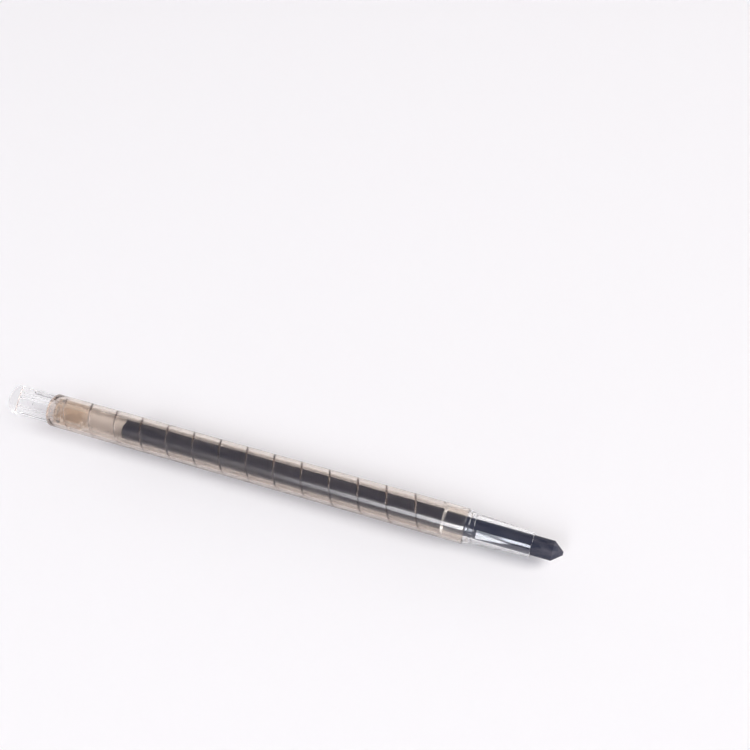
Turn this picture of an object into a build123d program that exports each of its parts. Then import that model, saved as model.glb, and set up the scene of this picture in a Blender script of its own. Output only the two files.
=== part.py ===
from build123d import *

import os
from math import ceil, sqrt

# A twist crayon lying on its side: the axis runs along X with the point towards +X.
# Each piece is turned and cut about a local Z axis whose zero is the rear face of the
# barrel, and placed() then lays it along X on the plane z = 0. All sizes are millimetres.

# Barrel: a clear tube with an inward rear wall and a screw track round its bore
barrel_od = 8.8
barrel_wall = 0.9
barrel_length = 114.65
end_wall = 2.1
lip_radius = 0.9
mouth_chamfer = 0.2
socket_depth = 5.8
socket_relief = 0.05

# Screw track: a vee groove, one start, right-handed, cut into the bore
track_pitch = 7.5
track_width = 0.5
track_depth = 0.35
track_lead_in = 1.4
track_start_angle = 150.0

# Crayon stick, which fills the drive tube's bore
crayon_reach = 5.0
point_length = 2.45
point_flat = 0.9
point_rounding = 0.25

# Carrier that pushes the stick
carrier_rear = 21.45
carrier_length = 5.7
carrier_chamfer = 0.7
lug_inset = 0.95
lug_flat = 0.08
spigot_od = 2.0
spigot_length = 5.0
spigot_chamfer = 0.3

# Drive tube and the twist knob's snap prongs
tube_wall = 0.85
slot_width = 1.6
hub_length = 8.95
prong_width = 4.4
prong_length = 8.05
prong_wall = 1.5
prong_rounding = 1.5
prong_angle = 208.0
stem_root = 1.2

# Twist knob
knob_length = 11.85
knob_step = 0.55
knob_rounding = 0.8
knob_core_od = 3.2
knob_end_wall = 2.6
flute_count = 12
flute_radius = 0.7
flute_depth = 0.22
flute_runout = 1.4
flute_margin = 2.4

# Nose cone: a plug in the barrel's mouth, a stepped collar and a tapered faceted tube
collar_step = 0.3
collar_length = 1.15
collar_chamfer = 0.15
waist_step = 0.55
waist_length = 1.25
nose_root_step = 0.65
nose_length = 14.0
nose_tip_wall = 0.5
nose_tip_chamfer = 0.15
plug_funnel = 0.6
facet_count = 8
facet_depth = 0.15
facet_length = 9.0

# Clearances on the radius or on each face
tube_clearance = 0.08
stick_clearance = 0.1
guide_clearance = 0.12
stem_clearance = 0.07
lug_clearance = 0.08
slot_clearance = 0.1
prong_clearance = 0.06
plug_clearance = 0.03
spigot_clearance = 0.03
wall_gap = 0.1
knob_gap = 0.15
plug_gap = 0.1
tube_end_gap = 0.25

# Radii that follow from the sizes above
barrel_radius = barrel_od / 2
bore_radius = barrel_radius - barrel_wall
track_radius = bore_radius + track_depth
socket_radius = track_radius + socket_relief
tube_radius = bore_radius - tube_clearance
tube_bore_radius = tube_radius - tube_wall
crayon_radius = tube_bore_radius - guide_clearance
stem_radius = tube_bore_radius - stem_clearance
nose_bore_radius = crayon_radius + stick_clearance
nose_tip_radius = nose_bore_radius + nose_tip_wall
nose_root_radius = barrel_radius - nose_root_step
knob_radius = barrel_radius - knob_step

# Stations along the axis
track_start = end_wall + track_lead_in
socket_floor = barrel_length - socket_depth
tube_rear = end_wall + wall_gap
tube_front = socket_floor + plug_gap - tube_end_gap
waist_start = barrel_length + collar_length
taper_start = waist_start + waist_length
nose_front = taper_start + nose_length
stick_rear = carrier_rear + carrier_length
point_base = nose_front + crayon_reach
point_tip = point_base + point_length
knob_front = -knob_gap
knob_rear = knob_front - knob_length
middle = (knob_rear + point_tip) / 2

# How far cutting tools run past the faces that they open, and how closely edges are matched
overrun = 1.0
match_tolerance = 1e-4

# Share of its radius at which a smooth curve's handles make it follow a quarter circle
quarter_handle = 4 / 3 * (sqrt(2) - 1)


def track_angle(station):
    """The angle at which the screw track passes a station."""
    return track_start_angle + 360 * (station - track_start) / track_pitch


# The two lugs lie half a turn apart on the track, one in each slot of the drive tube
first_lug = carrier_rear + lug_inset
second_lug = first_lug + track_pitch / 2
slot_angle = track_angle(first_lug)


def turned(*points):
    """A solid of revolution from an outline of (radius, station) points."""
    return revolve(make_face(Plane.XZ * Polyline(*points, close=True)), Axis.Z)


def rod(radius, start, end):
    """A round bar about the axis between two stations."""
    return Pos(0, 0, start) * Cylinder(radius, end - start, align=(Align.CENTER, Align.CENTER, Align.MIN))


def domed_rod(radius, start, end, rounding):
    """A round bar whose edge at the start is rounded over."""
    flat = radius - rounding
    handle = rounding * quarter_handle
    rim = Bezier((flat, start), (flat + handle, start),
                 (radius, start + rounding - handle), (radius, start + rounding))
    side = Polyline((radius, start + rounding), (radius, end), (0, end), (0, start), (flat, start))
    return revolve(make_face(Plane.XZ * Wire([rim, *side.edges()])), Axis.Z)


def ring_edge(shape, radius, station):
    """The circular edges of a shape with this radius at this station."""
    circles = shape.edges().filter_by(GeomType.CIRCLE)
    circles = circles.filter_by(lambda e: abs(e.radius - radius) < match_tolerance)
    return circles.filter_by(lambda e: abs(e.arc_center.Z - station) < match_tolerance)


def screw_ridge(start, end, *corners):
    """A ridge along the screw track, from the (height above the bore, half width) corners of its section."""
    path = Helix(track_pitch, end - start, bore_radius)
    across = Plane(origin=path @ 0, x_dir=(1, 0, 0), z_dir=path % 0)
    other_side = [(height, -half_width) for height, half_width in reversed(corners) if half_width]
    section = make_face(Polyline(*corners, *other_side, close=True))
    ridge = sweep(across * section, path=path, is_frenet=True)
    return Pos(0, 0, start) * Rot(0, 0, track_angle(start)) * ridge


def through_bar(width, start, end, angle):
    """A flat bar through the axis, wide enough to cut both sides of a tube."""
    span = 2 * (barrel_od + overrun)
    bar = Box(span, width, end - start, align=(Align.CENTER, Align.CENTER, Align.MIN))
    return Pos(0, 0, start) * Rot(0, 0, angle) * bar


def prong_bar(spread):
    """The round-cornered bar that both prongs and the notches for them are cut from."""
    width = prong_width + 2 * spread
    length = prong_length + spread + overrun
    outline = Pos(0, tube_rear - overrun) * Rectangle(width, length, align=(Align.CENTER, Align.MIN))
    outline = fillet(outline.vertices().group_by(Axis.Y)[-1], prong_rounding + spread)
    bar = extrude(Plane.XZ * outline, barrel_od, both=True)
    return Rot(0, 0, prong_angle) * bar


def make_barrel():
    """The tube, its inward rear wall, the mouth that takes the nose plug, and the screw track."""
    body = domed_rod(barrel_radius, 0, barrel_length, lip_radius)
    body = chamfer(ring_edge(body, barrel_radius, barrel_length), mouth_chamfer)
    body -= rod(stem_radius + stem_clearance, -overrun, end_wall + overrun)
    body -= rod(bore_radius, end_wall, barrel_length)
    body -= rod(socket_radius, socket_floor, barrel_length + overrun)
    for turn in range(ceil((socket_floor - track_start) / track_pitch)):
        start = track_start + turn * track_pitch
        end = min(start + track_pitch, socket_floor + track_width)
        body -= screw_ridge(start, end, (-track_depth, track_width), (track_depth, 0))
    return body


def make_nose_cone():
    """Plug, stepped collar and tapered tube, with flat facets that run out along the taper."""
    plug_radius = socket_radius - plug_clearance
    plug_rear = socket_floor + plug_gap
    collar_radius = barrel_radius - collar_step
    waist_radius = barrel_radius - waist_step
    body = turned((nose_bore_radius + plug_funnel, plug_rear),
                  (plug_radius, plug_rear),
                  (plug_radius, barrel_length),
                  (collar_radius, barrel_length),
                  (collar_radius, waist_start),
                  (waist_radius, waist_start),
                  (waist_radius, taper_start),
                  (nose_root_radius, taper_start),
                  (nose_tip_radius, nose_front),
                  (nose_bore_radius, nose_front),
                  (nose_bore_radius, plug_rear + plug_funnel))
    body = chamfer(ring_edge(body, collar_radius, waist_start), collar_chamfer)
    body = chamfer(ring_edge(body, nose_tip_radius, nose_front), nose_tip_chamfer)
    taper = (nose_root_radius - nose_tip_radius) / nose_length
    facet_end = taper_start + facet_length
    facet_end_radius = nose_root_radius - taper * facet_length
    cutter = make_face(Plane.XZ * Polyline((nose_root_radius - facet_depth, taper_start),
                                           (facet_end_radius, facet_end),
                                           (barrel_od, facet_end),
                                           (barrel_od, taper_start), close=True))
    cutter = extrude(cutter, barrel_radius, both=True)
    for angle in range(facet_count):
        body -= Rot(0, 0, angle * 360 / facet_count) * cutter
    return body


def make_crayon_stick():
    """The wax stick with its blunt point, and the socket for the carrier's spigot."""
    flat_radius = point_flat / 2
    body = turned((0, stick_rear),
                  (crayon_radius, stick_rear),
                  (crayon_radius, point_base),
                  (flat_radius, point_tip),
                  (0, point_tip))
    body = fillet(ring_edge(body, flat_radius, point_tip), point_rounding)
    return body - rod(spigot_od / 2, stick_rear - overrun, stick_rear + spigot_length)


def make_crayon_carrier():
    """The pusher: a puck with a bevelled back, a spigot in the stick and two lugs in the screw track."""
    body = rod(crayon_radius, carrier_rear, stick_rear)
    body = chamfer(ring_edge(body, crayon_radius, carrier_rear), carrier_chamfer)
    spigot_radius = spigot_od / 2 - spigot_clearance
    spigot_end = stick_rear + spigot_length - wall_gap
    spigot = rod(spigot_radius, stick_rear, spigot_end)
    body += chamfer(ring_edge(spigot, spigot_radius, spigot_end), spigot_chamfer)
    lead = track_pitch / 8
    lug_half_width = track_width / 2 - lug_clearance
    lug_height = (lug_half_width - lug_flat / 2) * track_depth / (track_width / 2)
    ridge = screw_ridge(first_lug - lead, second_lug + lead,
                        (crayon_radius / 2 - bore_radius, lug_half_width),
                        (0, lug_half_width),
                        (lug_height, lug_flat / 2))
    bar_width = slot_width - 2 * slot_clearance
    return body + (ridge & through_bar(bar_width, carrier_rear, stick_rear, slot_angle))


def make_drive_tube():
    """The inner tube: two long slots for the carrier's lugs and two notches for the knob's prongs."""
    body = rod(tube_radius, tube_rear, tube_front)
    body -= rod(tube_bore_radius, tube_rear - overrun, tube_front + overrun)
    body -= through_bar(slot_width, tube_rear + hub_length, tube_front + overrun, slot_angle)
    return body - prong_bar(prong_clearance)


def make_twist_knob():
    """The fluted knob, the stem through the barrel's rear wall, two snap prongs and the core inside."""
    body = domed_rod(knob_radius, knob_rear, knob_front, knob_rounding)
    flute_start = knob_rear + flute_margin
    flute = turned((0, flute_start),
                   (flute_radius, flute_start + flute_runout),
                   (flute_radius, knob_front + overrun),
                   (0, knob_front + overrun))
    flute_centre = knob_radius + flute_radius - flute_depth
    for number in range(flute_count):
        body -= Rot(0, 0, number * 360 / flute_count) * Pos(flute_centre, 0, 0) * flute
    stem_end = tube_rear + stem_root
    prong_end = tube_rear + prong_length
    body += rod(stem_radius, knob_front, stem_end)
    body -= rod(knob_core_od / 2, knob_rear + knob_end_wall, stem_end + overrun)
    shell = rod(tube_radius, tube_rear, prong_end)
    shell -= rod(tube_radius - prong_wall, tube_rear - overrun, prong_end + overrun)
    return body + (shell & prong_bar(0))


def placed(shape):
    """Lays a piece from the working axis along X, with the barrel resting on z = 0."""
    return Pos(-middle, 0, barrel_radius) * Rot(0, 90, 0) * shape


pieces = {
    "barrel": make_barrel(),
    "nose_cone": make_nose_cone(),
    "crayon_stick": make_crayon_stick(),
    "crayon_carrier": make_crayon_carrier(),
    "drive_tube": make_drive_tube(),
    "twist_knob": make_twist_knob(),
}

os.makedirs("parts", exist_ok=True)
for name, shape in pieces.items():
    export_step(placed(shape), f"parts/{name}.step")

print(f"overall length {point_tip - knob_rear:.2f} mm, middle at station {middle:.3f} mm")
print(f"lugs at stations {first_lug:.2f} and {second_lug:.2f} mm")
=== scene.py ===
# %% [markdown]
# # Dressing a see-through twist crayon
# The object is a slim clear barrel with a stick of wax in it. Turning the knob at the back turns
# a slotted tube, and a screw track moulded round the barrel's bore drives the wax out of the
# nose. The CAD frame gives every size and place. This lesson adds what a photograph sees: finer
# meshes, eased edges, tinted and colourless plastic that bends light, and soft studio light.

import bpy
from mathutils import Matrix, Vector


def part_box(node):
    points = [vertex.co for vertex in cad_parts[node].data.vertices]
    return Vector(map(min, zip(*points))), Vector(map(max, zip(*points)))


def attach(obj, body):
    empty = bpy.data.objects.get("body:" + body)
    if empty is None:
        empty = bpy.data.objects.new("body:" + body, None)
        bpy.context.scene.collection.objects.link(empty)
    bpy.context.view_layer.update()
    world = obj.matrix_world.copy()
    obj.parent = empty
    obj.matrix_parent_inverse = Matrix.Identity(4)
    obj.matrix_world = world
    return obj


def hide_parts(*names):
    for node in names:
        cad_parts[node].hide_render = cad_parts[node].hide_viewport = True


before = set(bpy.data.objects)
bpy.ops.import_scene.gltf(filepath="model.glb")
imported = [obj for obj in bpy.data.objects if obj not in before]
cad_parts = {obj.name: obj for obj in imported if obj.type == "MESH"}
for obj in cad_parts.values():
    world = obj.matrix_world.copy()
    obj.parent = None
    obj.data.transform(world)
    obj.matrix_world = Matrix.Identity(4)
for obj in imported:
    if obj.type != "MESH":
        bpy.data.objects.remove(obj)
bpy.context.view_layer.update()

# %% [markdown]
# ## One way to say where things are
# Every piece of a crayon is turned about one axis, so a place is easiest to say as a station
# along the axis, a radius and an angle. Stations are millimetres from the barrel's rear face. The
# barrel's own box in the frame gives the axis and that face, so nothing has to be fitted by eye.

# %% Stations, radii and angles
import math

import bmesh
import bpy
from mathutils import Vector

mm = 0.001
barrel_low, barrel_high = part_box("barrel")
rear_face = barrel_low.x
axis_height = (barrel_low.z + barrel_high.z) / 2
barrel_radius = (barrel_high.z - barrel_low.z) / 2 / mm
barrel_length = (barrel_high.x - barrel_low.x) / mm


def station_of(place):
    """How many millimetres a place on the X axis lies in front of the barrel's rear face."""
    return (place - rear_face) / mm


def place_of(station):
    """The place of a station on the frame's X axis, in metres."""
    return rear_face + station * mm


def spot(station, radius, angle):
    """A point in the frame from a station, a radius and an angle round the axis."""
    return Vector((place_of(station),
                   radius * mm * math.cos(angle),
                   axis_height + radius * mm * math.sin(angle)))


print(f"barrel radius {barrel_radius:.3f} mm, length {barrel_length:.2f} mm")
print(f"axis {axis_height / mm:.2f} mm above the table")

# %% [markdown]
# ## The camera
# The camera could be aimed by eye, but a see-through tube shows every error: the turns of the
# track close up towards the far end in a way that only one distance gives. Its place was worked
# out from the barrel's two edges and the spacing of those turns, for an ordinary 50 mm lens.

# %% Camera
azimuth = math.radians(19.52)
elevation = math.radians(45.62)
camera_stands = Vector((80.83, -149.29, 210.71)) * mm
lens = 50

scene = bpy.context.scene
looks_back = Vector((math.sin(azimuth) * math.cos(elevation),
                     -math.cos(azimuth) * math.cos(elevation),
                     math.sin(elevation)))
camera = bpy.data.objects.new("camera", bpy.data.cameras.new("camera"))
camera.data.lens = lens
camera.location = camera_stands
camera.rotation_euler = looks_back.to_track_quat("Z", "Y").to_euler()
scene.collection.objects.link(camera)
scene.camera = camera
scene.view_settings.view_transform = "Standard"
print("camera stands at", tuple(round(v, 4) for v in camera.location))

# %% [markdown]
# ## Shader maths as Python
# A finish is a small sum: this much roughness plus that much haze. Node trees hide such sums in
# boxes and wires, so one class wraps a socket and lets the sum be written out. Plus, minus,
# times, less and more add Math nodes, and the method called node adds any other kind. Colours
# can't go through Math nodes, which would turn them grey, so a short helper blends two of them.

# %% A socket that can be added up
class Wire:
    """A socket of a node tree, or the bare tree before its first node."""

    def __init__(self, tree, socket=None):
        self.tree = tree
        self.socket = socket

    def node(self, kind, settings=None, sockets=None, out=0):
        """Adds a node: first its settings, then the values or links of its sockets."""
        made = self.tree.nodes.new("ShaderNode" + kind)
        for name, value in (settings or {}).items():
            if name == "stops":
                ramp = made.color_ramp.elements
                ramp[0].position, ramp[0].color = value[0]
                ramp[-1].position, ramp[-1].color = value[-1]
                for place, colour in value[1:-1]:
                    ramp.new(place).color = colour
            else:
                setattr(made, name, value)
        for name, value in (sockets or {}).items():
            if isinstance(value, Wire):
                self.tree.links.new(value.socket, made.inputs[name])
            else:
                made.inputs[name].default_value = value
        return Wire(self.tree, made.outputs[out] if made.outputs else None)

    def maths(self, operation, first, second):
        """A Math node on two wires or numbers."""
        return self.node("Math", {"operation": operation}, {0: first, 1: second})

    def __add__(self, other):
        return self.maths("ADD", self, other)

    def __sub__(self, other):
        return self.maths("SUBTRACT", self, other)

    def __rsub__(self, other):
        return self.maths("SUBTRACT", other, self)

    def __mul__(self, other):
        return self.maths("MULTIPLY", self, other)

    def __lt__(self, other):
        return self.maths("LESS_THAN", self, other)

    def __gt__(self, other):
        return self.maths("GREATER_THAN", self, other)

    __radd__ = __add__
    __rmul__ = __mul__


def blend(share, first, second):
    """The colour at a share between two colours; a Mix node keeps colours in sockets 6 and 7."""
    return share.node("Mix", {"data_type": "RGBA"}, {0: share, 6: first, 7: second}, out=2)


def empty_material(name):
    """A material with no nodes yet, and the wire that starts its tree."""
    material = bpy.data.materials.new(name)
    material.use_nodes = True
    material.node_tree.nodes.clear()
    return material, Wire(material.node_tree)


print("reflected sums:", [name for name in vars(Wire) if name.startswith("__r")])

# %% [markdown]
# ## The table
# The crayon lies on a plain white table. Its colour is a shade under white, so it makes the white
# background by itself and the light stays at a plain level. Far from the crayon the lamps no
# longer reach it. A studio hangs a paper sweep there. Here the table turns by and by into an even
# glow of strength 1, but only for rays that somebody looks along, straight, in a mirror or
# through a clear wall. The light that falls on the crayon comes from the lit table alone.

# %% Table top
table_tones = (0.965, 0.950, 0.962, 1), (0.975, 0.960, 0.972, 1)
backdrop_tone = (0.955, 0.94, 0.96, 1)
sweep_starts, sweep_ends = 0.45, 1.2
table_reach = 8.0


def eye_rays(start):
    """Two switches: rays straight from the camera, and rays turned by a mirror or a clear wall."""
    straight = start.node("LightPath", out="Is Camera Ray")
    mirrored = start.node("LightPath", out="Is Glossy Ray")
    through = start.node("LightPath", out="Is Transmission Ray")
    return straight, start.maths("MAXIMUM", mirrored, through)


table_material, start = empty_material("white_table")
place = start.node("TexCoord", out="Object")
grain = start.node("TexNoise", None, {"Vector": place, "Scale": 900.0, "Detail": 4.0})
lit_table = start.node("BsdfPrincipled", None, {"Base Color": blend(grain, *table_tones),
                                                "Roughness": 0.9, "Specular IOR Level": 0.1})
straight, turned = eye_rays(start)
far_off = start.node("VectorMath", {"operation": "LENGTH"}, {0: place}, out="Value")
swept = start.node("MapRange", None, {"Value": far_off, "From Min": sweep_starts,
                                      "From Max": sweep_ends})
sweep = start.node("Emission", None, {"Color": backdrop_tone, "Strength": 1.0})
shown = start.node("MixShader", None, {0: swept * (straight + turned), 1: lit_table, 2: sweep})
start.node("OutputMaterial", None, {"Surface": shown})


def flat_panel(name, width, tall, material):
    """A rectangle that belongs to the studio and not to the crayon."""
    mesh = bpy.data.meshes.new(name)
    corners = [(x * width / 2, y * tall / 2, 0) for x, y in ((-1, -1), (1, -1), (1, 1), (-1, 1))]
    mesh.from_pydata(corners, [], [(0, 1, 2, 3)])
    mesh.materials.append(material)
    panel = bpy.data.objects.new(name, mesh)
    scene.collection.objects.link(panel)
    return panel


flat_panel("table", 2 * table_reach, 2 * table_reach, table_material)
print("table top reaches", table_reach, "m each way")

# %% [markdown]
# ## The room
# Clear plastic has hardly a colour of its own. It shows what stands round it, so the room matters
# more than the shader. The low wall on the far side is white, and it shows in the upper edge of
# the barrel. The ceiling and the near side are dark: the top of the barrel mirrors them, and only
# a dark room leaves the wax dark behind two or three shiny walls. An even sky would be simpler,
# but it would lay a grey veil over the wax. A ray through the barrel meets eight surfaces, and
# more where it runs inside a wall, so it gets enough bounces to come out again.

# %% Room
dark_tone = (0.055, 0.06, 0.08, 1)
wall_tone = (0.95, 0.94, 0.96, 1)
black, white = (0, 0, 0, 1), (1, 1, 1, 1)
horizon_low, horizon_high = 0.02, 0.06

room = bpy.data.worlds.new("room")
room.use_nodes = True
room.node_tree.nodes.clear()
scene.world = room
start = Wire(room.node_tree)
way = start.node("TexCoord", out="Generated")
height = start.node("SeparateXYZ", None, {0: way}, out="Z")
beyond = start.node("SeparateXYZ", None, {0: way}, out="Y")
low = start.node("ValToRGB", {"stops": [(0.30, white), (0.60, black)]}, {0: height})
far = start.node("ValToRGB", {"stops": [(0.20, black), (0.55, white)]}, {0: 0.5 * beyond + 0.5})
room_light = start.node("Background", None, {"Color": blend(low * far, dark_tone, wall_tone),
                                             "Strength": 1.0})
backdrop = start.node("Background", None, {"Color": backdrop_tone, "Strength": 1.0})
straight, turned = eye_rays(start)
near_horizon = start.node("MapRange", None, {"Value": height, "From Min": horizon_high,
                                             "From Max": horizon_low})
shown = start.node("MixShader", None, {0: straight + turned * near_horizon,
                                       1: room_light, 2: backdrop})
start.node("OutputWorld", None, {"Surface": shown})
print("room made: a white far wall, and dark overhead and on the near side")

# %% Bounces for nested clear walls
bounces = 32
for kind in ("max_bounces", "transmission_bounces", "glossy_bounces", "transparent_max_bounces"):
    setattr(scene.cycles, kind, bounces)
print("light may bounce", scene.cycles.max_bounces, "times")

# %% [markdown]
# ## Softboxes
# Four glowing panels light the crayon. The near one is mirrored in the barrel as the bright
# streak, which fades towards the knob, and in the nose as a second short streak, with a gap
# between the two. A lamp has one strength all over, so this box is a panel whose glow changes
# along its width, as a photographer would do with black card and a second layer of cloth. A small
# low card shows only in the leaf-shaped facet of the nose. The key and the fill stand far off
# behind the point, where no part of the barrel mirrors them. They light the table evenly and
# leave the soft shadow in front.

# %% Softbox panels
def softbox(name, middle, width, tall, tone, glow, along=None):
    """A panel that faces the crayon; along lists (share of its width, times the glow) stops."""
    material, start = empty_material(name)
    colour = (*tone, 1)
    if along:
        generated = start.node("TexCoord", out="Generated")
        share = start.node("SeparateXYZ", None, {0: generated}, out="X")
        stops = [(at, (*(part * times for part in tone), 1)) for at, times in along]
        colour = start.node("ValToRGB", {"stops": stops}, {0: share})
    light = start.node("Emission", None, {"Color": colour, "Strength": glow})
    start.node("OutputMaterial", None, {"Surface": light})
    panel = flat_panel(name, width, tall, material)
    panel.location = middle
    panel.rotation_euler = panel.location.to_track_quat("Z", "Y").to_euler()
    panel.visible_camera = False
    strongest = glow * max(times for at, times in along) if along else glow
    print(f"{name}: {width:.2f} by {tall:.2f} m, strongest glow {strongest}")


barrel_streak = [(0.085, 0.0), (0.118, 0.9), (0.20, 2.8), (0.285, 4.9), (0.368, 7.5)]
plug_glint = [(0.374, 18.0), (0.44, 18.0)]
facet_gap = [(0.455, 0.5), (0.555, 0.5)]
nose_streak = [(0.565, 15.0), (0.59, 11.0), (0.62, 1.0), (1.0, 1.0)]
softbox("near_softbox", middle=(0.0, -2.108, 1.343), width=1.93, tall=1.08,
        tone=(0.95, 0.985, 1.06), glow=1.0,
        along=barrel_streak + plug_glint + facet_gap + nose_streak)
softbox("facet_softbox", middle=(0.0, -2.286, 0.244), width=0.20, tall=0.24,
        tone=(0.97, 0.99, 1.04), glow=20.0)
softbox("key_softbox", middle=(7.2, 1.2, 6.8), width=5.675, tall=5.675,
        tone=(1.02, 1.0, 0.975), glow=7.1)
softbox("fill_softbox", middle=(6.5, -4.0, 4.25), width=4.0, tall=4.0,
        tone=(1.04, 0.99, 0.985), glow=6.6)

# %% [markdown]
# ## Turning a profile
# All of these mouldings are round, so one helper spins a profile of stations and radii. A mould
# never leaves a knife edge, and in clear plastic each eased edge shows as a bright or dark thread,
# so the profile's corners are rounded first, each by its own amount. Blender's screw modifier
# could spin the profile too, but here the rings have to be plain faces at once: the facets are
# scored into them, and the bore with its track is joined to them.

# %% Rounded profiles
def eased(corners, steps=6):
    """Replaces each (station, radius, easing) corner that has an easing by an arc."""
    path = []
    for number, (station, radius, easing) in enumerate(corners):
        here = Vector((station, radius))
        if not easing:
            path.append(here)
            continue
        to_last = (Vector(corners[number - 1][:2]) - here).normalized()
        to_next = (Vector(corners[(number + 1) % len(corners)][:2]) - here).normalized()
        half = to_last.angle(to_next) / 2
        centre = here + (to_last + to_next).normalized() * easing / math.sin(half)
        begin = here + to_last * easing / math.tan(half) - centre
        finish = here + to_next * easing / math.tan(half) - centre
        sweep = begin.angle(finish)
        for step in range(steps + 1):
            share = step / steps
            swung = begin * math.sin((1 - share) * sweep) + finish * math.sin(share * sweep)
            path.append(centre + swung / math.sin(sweep))
    return path


print("a square corner becomes", len(eased([(0, 0, 0), (0, 1, 0.1), (1, 1, 0)])) - 2, "points")

# %% Spun rings and finished pieces
columns = 160
on_axis = 1e-6
weld = 1e-7
crease = math.radians(38)


def spun(shape, path, closed):
    """Adds the surface that a path sweeps round the axis; closed joins last ring to first."""
    rings = []
    for station, radius in path:
        turns = columns if radius > on_axis else 1
        rings.append([shape.verts.new(spot(station, radius, 2 * math.pi * k / columns))
                      for k in range(turns)])
    for first, second in zip(rings, rings[1:] + (rings[:1] if closed else [])):
        for k in range(columns):
            corners = [first[k % len(first)], first[(k + 1) % len(first)],
                       second[(k + 1) % len(second)], second[k % len(second)]]
            shape.faces.new(dict.fromkeys(corners))


def piece_from(shape, name):
    """Turns a bmesh into a named piece with smooth faces, sharp creases and even shading."""
    bmesh.ops.remove_doubles(shape, verts=shape.verts, dist=weld)
    bmesh.ops.recalc_face_normals(shape, faces=shape.faces)
    for edge in shape.edges:
        if len(edge.link_faces) == 2 and edge.calc_face_angle() > crease:
            edge.smooth = False
    for face in shape.faces:
        face.smooth = True
    open_edges = sum(1 for edge in shape.edges if len(edge.link_faces) != 2)
    mesh = bpy.data.meshes.new(name)
    shape.to_mesh(mesh)
    shape.free()
    piece = bpy.data.objects.new(name, mesh)
    scene.collection.objects.link(piece)
    even = piece.modifiers.new("even_shading", "WEIGHTED_NORMAL")
    even.keep_sharp = True
    print(f"{name}: {len(mesh.polygons)} faces, {open_edges} open edges")
    return piece


print("profiles are spun in", columns, "columns")

# %% [markdown]
# ## The barrel
# The barrel is one long thin moulding: a rounded lip and an inward wall at the back, a plain
# outside, and a wider socket at the mouth for the nose. The outside is an ordinary spun profile.

# %% Barrel: outside, rear wall and socket
bore_radius = 3.5
stem_hole = 2.57
socket_radius = 3.9
end_wall = 2.1
socket_depth = 5.8
socket_floor = barrel_length - socket_depth
barrel_shape = bmesh.new()
spun(barrel_shape, eased([(end_wall, bore_radius, 0), (end_wall, stem_hole, 0.1),
                          (0, stem_hole, 0.15), (0, barrel_radius, 0.5),
                          (barrel_length, barrel_radius, 0.2), (barrel_length, socket_radius, 0.1),
                          (socket_floor, socket_radius, 0.05), (socket_floor, bore_radius, 0)]),
     closed=False)
print("barrel outside has", len(barrel_shape.faces), "faces so far")

# %% [markdown]
# ## The screw track
# The fine dark rings along the barrel are one groove that winds round the bore fourteen times. A
# boolean with a swept cutter would leave slivers that show in clear plastic. Instead the bore is
# woven: each row of points follows the track, and after one turn it meets the row one pitch
# further on. The groove's floor, walls and eased edges are then whole rows, as clean as a real
# thread. Rows that run past an end are pressed flat onto it and merged.

# %% Barrel: the section of its track
track_pitch = 7.5
track_start = 3.5
track_end = socket_floor - 0.4
track_run = 0.2
track_start_angle = math.radians(60)
groove = [(0, 0.345), (0.03, 0.32), (0.245, 0.01)]
beside_groove = [(0.27, 0), (0.33, 0), (0.45, 0)]
plain_bore = [(1.6, 0), (3.7, 0), (5.6, 0)]
one_side = groove[1:] + beside_groove
track_section = ([(-offset, depth) for offset, depth in reversed(one_side)]
                 + groove[:1] + one_side + plain_bore)


def track_share(station):
    """How much of its depth the track has: it runs in and out over a small part of a turn."""
    runs_in = (station - track_start) / track_run
    runs_out = (track_end - station) / track_run
    return max(0.0, min(1.0, runs_in, runs_out))


print("one pitch of the bore has", len(track_section), "rows of points")

# %% Barrel: the woven bore
turns_before, turns_after = -2, math.ceil(barrel_length / track_pitch)
woven = []
for k in range(columns):
    angle = 2 * math.pi * k / columns
    column = []
    for turn in range(turns_before, turns_after):
        part_of_turn = (angle - track_start_angle) / (2 * math.pi)
        middle = track_start + track_pitch * (part_of_turn + turn)
        for offset, depth in track_section:
            station = max(end_wall, min(socket_floor, middle + offset))
            radius = bore_radius + depth * track_share(middle)
            column.append(barrel_shape.verts.new(spot(station, radius, angle)))
    woven.append(column)
for k in range(columns):
    last = k + 1 == columns
    here = woven[k]
    there = woven[0][len(track_section):] if last else woven[k + 1]
    for row in range(len(there) - 1):
        barrel_shape.faces.new((here[row], here[row + 1], there[row + 1], there[row]))
barrel = piece_from(barrel_shape, "clear_barrel")

# %% [markdown]
# ## The nose
# The nose is a plug that presses into the barrel's mouth, a stepped collar, and a tapered tube
# with a narrow neck at its root, a slight swell, and eight flat facets shaped like leaves. The
# flats could be modelled as polygons, but a leaf is just where a plane meets a cone: the cone is
# scored by the plane, and the points that stand proud of it are pressed down onto it. The scored
# lines stay sharp.

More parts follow.
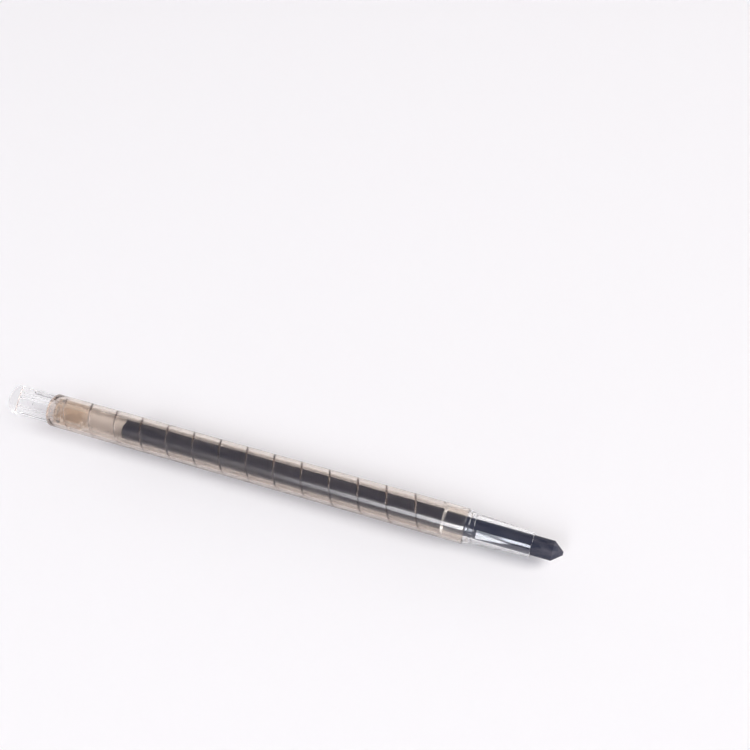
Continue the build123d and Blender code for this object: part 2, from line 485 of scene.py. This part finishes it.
# %% Nose: plug, collar and taper
plug_rear = station_of(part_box("nose_cone")[0].x)
nose_front = station_of(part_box("nose_cone")[1].x)
collar_front = barrel_length + 1.15
taper_start = barrel_length + 2.4
step_slant = 0.35
plug_radius, plug_end_radius, plug_lead = 3.87, 3.6, 0.25
collar_radius, waist_radius = 4.1, 3.85
neck_radius, swell_radius, tip_radius = 3.62, 3.73, 3.05
swell_station = taper_start + 0.8
nose_bore = 2.55
funnel_radius, funnel_depth = 3.15, 0.6
nose_shape = bmesh.new()
spun(nose_shape, eased([(plug_rear, funnel_radius, 0.03), (plug_rear, plug_end_radius, 0.03),
                        (plug_rear + plug_lead, plug_radius, 0.05),
                        (barrel_length, plug_radius, 0),
                        (barrel_length, collar_radius, 0.06),
                        (collar_front - step_slant, collar_radius, 0.08),
                        (collar_front, waist_radius, 0.06),
                        (taper_start - step_slant, waist_radius, 0.06),
                        (taper_start, neck_radius, 0.1), (swell_station, swell_radius, 0.5),
                        (nose_front, tip_radius, 0.25), (nose_front, nose_bore, 0.15),
                        (plug_rear + funnel_depth, nose_bore, 0)]),
     closed=True)
print("nose has", len(nose_shape.faces), "faces before its facets")

# %% Nose: the leaf facets
facets = 8
first_facet = math.radians(15)
facet_root = 3.688
facet_fall = 0.0418
past_root, under_tip = 0.1, 0.05
hair = 1e-8


def from_axis(vert):
    """The vector from the crayon's axis straight out to a vertex."""
    return Vector((0, vert.co.y, vert.co.z - axis_height))


taper = [face for face in nose_shape.faces
         if min(v.co.x for v in face.verts) > place_of(taper_start + past_root)
         and min(from_axis(v).length for v in face.verts) > (tip_radius - under_tip) * mm]
for number in range(facets):
    facing = 2 * math.pi * number / facets + first_facet
    on_facet = spot(taper_start, facet_root, facing)
    square_to = Vector((facet_fall, math.cos(facing), math.sin(facing))).normalized()
    taper = [face for face in taper if face.is_valid]
    around = set(taper) | {e for f in taper for e in f.edges} | {v for f in taper for v in f.verts}
    cut = bmesh.ops.bisect_plane(nose_shape, geom=list(around), dist=hair,
                                 plane_co=on_facet, plane_no=square_to)
    taper = [item for item in cut["geom"] if isinstance(item, bmesh.types.BMFace)]
    for item in cut["geom_cut"]:
        if isinstance(item, bmesh.types.BMEdge):
            item.smooth = False
    for vert in {v for face in taper for v in face.verts}:
        proud = (vert.co - on_facet).dot(square_to)
        if proud > hair:
            outward = from_axis(vert).normalized()
            vert.co -= outward * proud / outward.dot(square_to)
nose = piece_from(nose_shape, "clear_nose")

# %% [markdown]
# ## The wax stick
# The stick is a plain rod with a blunt moulded point. What makes it wax is in the edges, which
# are soft, and in the finish, so the profile only needs generous easing and the socket at its
# back that takes the carrier's spigot.

# %% Wax stick
stick_rear = station_of(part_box("crayon_stick")[0].x)
point_tip = station_of(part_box("crayon_stick")[1].x)
stick_radius = 2.45
point_length, point_radius = 2.45, 0.45
spigot_depth, spigot_radius = 5, 1.0
stick_shape = bmesh.new()
spun(stick_shape, eased([(stick_rear + spigot_depth, 0, 0),
                         (stick_rear + spigot_depth, spigot_radius, 0),
                         (stick_rear, spigot_radius, 0.1), (stick_rear, stick_radius, 0.15),
                         (point_tip - point_length, stick_radius, 0.12),
                         (point_tip, point_radius, 0.25), (point_tip, 0, 0)]),
     closed=False)
stick = piece_from(stick_shape, "wax_stick")

# %% [markdown]
# ## Plastic that light passes
# Glass in a renderer blocks lamps, which would leave the wax and the table under the barrel
# black. So each clear finish is two shaders. The camera sees plastic that bends and mirrors
# light. Rays that look for a lamp meet a plain filter, which loses more light where a wall stands
# at a slant to them, as real tubes do: their edges throw the darker lines of the shadow. The
# smoke in the barrel is a tint of the surface and an even absorption in the wall, so the edges,
# where the way through the wall is long, come out darker than the middle.
#
# Moulded plastic is never perfect. Faint flow lines along the moulding, fine rub marks and a
# little haze vary its roughness and tint. Surfaces that rub on others, such as the bore, the
# track and the plug, are duller. The track is painted darker, as painted shade, so it shows as
# thin dark lines. The prongs of the knob get a painted tan shade where they sit in the barrel.

# %% Clear plastic finishes
flow_per_metre = (40.0, 700.0, 700.0)
rub_scale, smear_scale = 2600.0, 170.0
ripple_strength, rub_height = 0.25, 0.3
inside_wall = place_of(1.5)
barrel_mouth = place_of(barrel_length)
# Painted shade: between these depths the track is painted darker, so it shows as thin dark lines.
track_shade_from, track_shade_to = 0.05, 0.37
track_low, track_high = (bore_radius + track_shade_from) * mm, (bore_radius + track_shade_to) * mm


def clear_plastic(name, tints, bends, edge_loss, gloss=0.015, haze=0.05, ripple=3e-6, clarity=1.0,
                  rubbed=0.0, rubbed_within=0.0, inner_painted_shade=None, track_painted_shade=None, absorbs=None):
    """Plastic between two tints; rubbed is extra roughness in the barrel within a radius in mm."""
    material, start = empty_material(name)
    place = start.node("TexCoord", out="Object")
    drawn = start.node("VectorMath", {"operation": "MULTIPLY"}, {0: place, 1: flow_per_metre})
    flow = start.node("TexNoise", None, {"Vector": drawn, "Scale": 1.0, "Detail": 3.0})
    rubs = start.node("TexNoise", None, {"Vector": place, "Scale": rub_scale, "Detail": 5.0,
                                         "Roughness": 0.7})
    smears = start.node("TexNoise", None, {"Vector": place, "Scale": smear_scale, "Detail": 2.0})
    along = start.node("SeparateXYZ", None, {0: place}, out="X")
    across = start.node("VectorMath", {"operation": "MULTIPLY_ADD"},
                        {0: place, 1: (0, 1, 1), 2: (0, 0, -axis_height)})
    radius = start.node("VectorMath", {"operation": "LENGTH"}, {0: across}, out="Value")
    inside = along > inside_wall
    colour = blend(flow, *tints)
    # Painted shade: a tan shade on the part of the knob that sits in the barrel.
    if inner_painted_shade:
        colour = blend(inside, colour, inner_painted_shade)
    # Painted shade: the track's radii take a darker colour.
    if track_painted_shade:
        colour = blend((radius > track_low) * (radius < track_high) * inside, colour, track_painted_shade)
    roughness = gloss + haze * rubs * smears
    if rubbed:
        within = radius < rubbed_within * mm
        roughness = roughness + rubbed * within * inside * (along < barrel_mouth)
    bump = start.node("Bump", None, {"Strength": ripple_strength, "Distance": ripple,
                                     "Height": flow + rub_height * rubs}, out="Normal")
    plastic = start.node("BsdfPrincipled", None, {"Base Color": colour, "Roughness": roughness,
                                                  "IOR": bends, "Transmission Weight": clarity,
                                                  "Normal": bump})
    let_by = start.node("BsdfTransparent", None, {"Color": white})
    turned_away = start.node("BsdfTransparent", None, {"Color": black})
    slant = start.node("LayerWeight", None, {"Blend": edge_loss}, out="Facing")
    filtered = start.node("MixShader", None, {0: slant, 1: let_by, 2: turned_away})
    from_table = start.node("LightPath", out="Is Diffuse Ray")
    from_lamp = start.node("LightPath", out="Is Shadow Ray")
    shown = start.node("MixShader", None, {0: from_table, 1: plastic, 2: filtered})
    shown = start.node("MixShader", None, {0: from_lamp, 1: shown, 2: filtered})
    result = {"Surface": shown}
    if absorbs:
        result["Volume"] = start.node("VolumeAbsorption", None, absorbs)
    start.node("OutputMaterial", None, result)
    print(f"{name}: roughness {gloss} to {gloss + haze + rubbed:.3f}, bends light by {bends}")
    return material


print(f"track finish between radii {track_low / mm:.2f} and {track_high / mm:.2f} mm")

# %% [markdown]
# ### The four clear plastics
# The barrel and nose bend light as a hard clear plastic does. The knob and the drive tube bend it
# less than they really would. That is a choice for the picture: with fewer mirrored walls the
# knob stays as pale, and the wax behind the tube as dark, as they look to the eye.

# %% Smoke, colourless, pale and frosted plastic
colourless = (0.995, 0.995, 0.995, 1), (0.98, 0.98, 0.985, 1)
# The barrel's track takes a painted shade.
smoke = clear_plastic("smoke_tinted_plastic", ((1.0, 0.940, 0.878, 1), (0.995, 0.933, 0.870, 1)),
                      bends=1.49, edge_loss=0.07, gloss=0.02, ripple=4e-7,
                      rubbed=0.10, rubbed_within=4.0, track_painted_shade=(0.72, 0.68, 0.68, 1),
                      absorbs={"Color": (0.50, 0.40, 0.36, 1), "Density": 160.0})
water_clear = clear_plastic("colourless_plastic", colourless, bends=1.49, edge_loss=0.05,
                            rubbed=0.16, rubbed_within=5.0)
# The knob gets a painted tan shade where its prongs sit in the barrel.
pale_clear = clear_plastic("pale_clear_plastic", colourless, bends=1.26, edge_loss=0.03,
                           inner_painted_shade=(0.91, 0.845, 0.775, 1))
frosted = clear_plastic("frosted_plastic", ((0.995, 0.985, 0.975, 1), (0.98, 0.97, 0.96, 1)),
                        bends=1.30, edge_loss=0.02, gloss=0.22, haze=0.10, ripple=4e-6,
                        clarity=0.99)

# %% [markdown]
# ## Wax and satin plastic
# Wax is a soft dark solid: near black, a little blue, with a dull sheen. It takes fine draw lines
# along the rod and small pits and smudges, so noise stretched along the axis and finer round
# noise vary colour, roughness and height together. Inside the barrel and the nose the marks are
# painted darker, as painted shade; out of the nose they stay pale. The carrier is a black
# moulding with a finer, more even satin.

# %% Wax and satin finishes
draw_across = 900.0
pit_scale = 1900.0
smudge_per_metre = (260.0, 800.0, 800.0)
line_share, pit_share, smudge_share = 0.3, 0.2, 0.5
mark_low, mark_high = 0.42, 0.60
# Painted shade: the marks inside the barrel and the nose lose this share of their paleness.
shade_inside_nose = 0.65
shade_fades_from, shade_fades_to = place_of(nose_front - 0.4), place_of(nose_front + 0.4)


def dark_solid(name, deep, worn, gloss, dull, depth, draw):
    """A dark opaque finish between two colours, drawn along the axis, with painted shade inside
    the nose.
    """
    material, start = empty_material(name)
    place = start.node("TexCoord", out="Object")
    drawn = start.node("VectorMath", {"operation": "MULTIPLY"},
                       {0: place, 1: (draw, draw_across, draw_across)})
    lines = start.node("TexNoise", None, {"Vector": drawn, "Scale": 1.0, "Detail": 4.0})
    pits = start.node("TexNoise", None, {"Vector": place, "Scale": pit_scale, "Detail": 6.0,
                                         "Roughness": 0.65})
    smeared = start.node("VectorMath", {"operation": "MULTIPLY"}, {0: place, 1: smudge_per_metre})
    smudges = start.node("TexNoise", None, {"Vector": smeared, "Scale": 1.0, "Detail": 2.0})
    mixed = line_share * lines + pit_share * pits + smudge_share * smudges
    marks = start.node("MapRange", None, {"Value": mixed, "From Min": mark_low,
                                          "From Max": mark_high})
    along = start.node("SeparateXYZ", None, {0: place}, out="X")
    out_of_nose = start.node("MapRange", None, {"Value": along, "From Min": shade_fades_from,
                                            "From Max": shade_fades_to})
    # Painted shade: the marks are darker everywhere behind the front of the nose.
    shaded_marks = marks * (1 - shade_inside_nose * (1 - out_of_nose))
    bump = start.node("Bump", None, {"Strength": 0.5, "Distance": depth, "Height": marks},
                      out="Normal")
    solid = start.node("BsdfPrincipled", None, {"Base Color": blend(shaded_marks, deep, worn),
                                                "Roughness": gloss + (dull - gloss) * marks,
                                                "Specular IOR Level": 0.3, "Normal": bump})
    start.node("OutputMaterial", None, {"Surface": solid})
    print(f"{name}: roughness {gloss} to {dull}")
    return material


blue_black = (0.016, 0.019, 0.040, 1)
wax = dark_solid("black_wax", blue_black, (0.074, 0.072, 0.092, 1),
                 gloss=0.50, dull=0.80, depth=3e-5, draw=120.0)
satin = dark_solid("black_satin_plastic", blue_black, (0.030, 0.033, 0.058, 1),
                   gloss=0.32, dull=0.46, depth=8e-6, draw=500.0)

# %% [markdown]
# ## Putting the pieces on their bodies
# Each new piece takes the place of its CAD node and rides on that node's body, so the knob still
# turns and the wax still moves. The knob, the slotted tube and the carrier keep their CAD meshes,
# whose shapes are already right, and only change their finish.

# %% Hand-over
for piece, node, body, slot, finish in (
        (barrel, "barrel", "barrel_body", "smoke_plastic", smoke),
        (nose, "nose_cone", "barrel_body", "clear_plastic", water_clear),
        (stick, "crayon_stick", "crayon_body", "black_wax", wax)):
    piece.data.materials.append(finish)
    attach(piece, body)
    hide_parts(node)
    print(piece.name, "stands for", node)
for node, finish in (("twist_knob", pale_clear), ("drive_tube", frosted),
                     ("crayon_carrier", satin)):
    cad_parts[node].material_slots[0].material = finish
    print(node, "keeps its mesh")
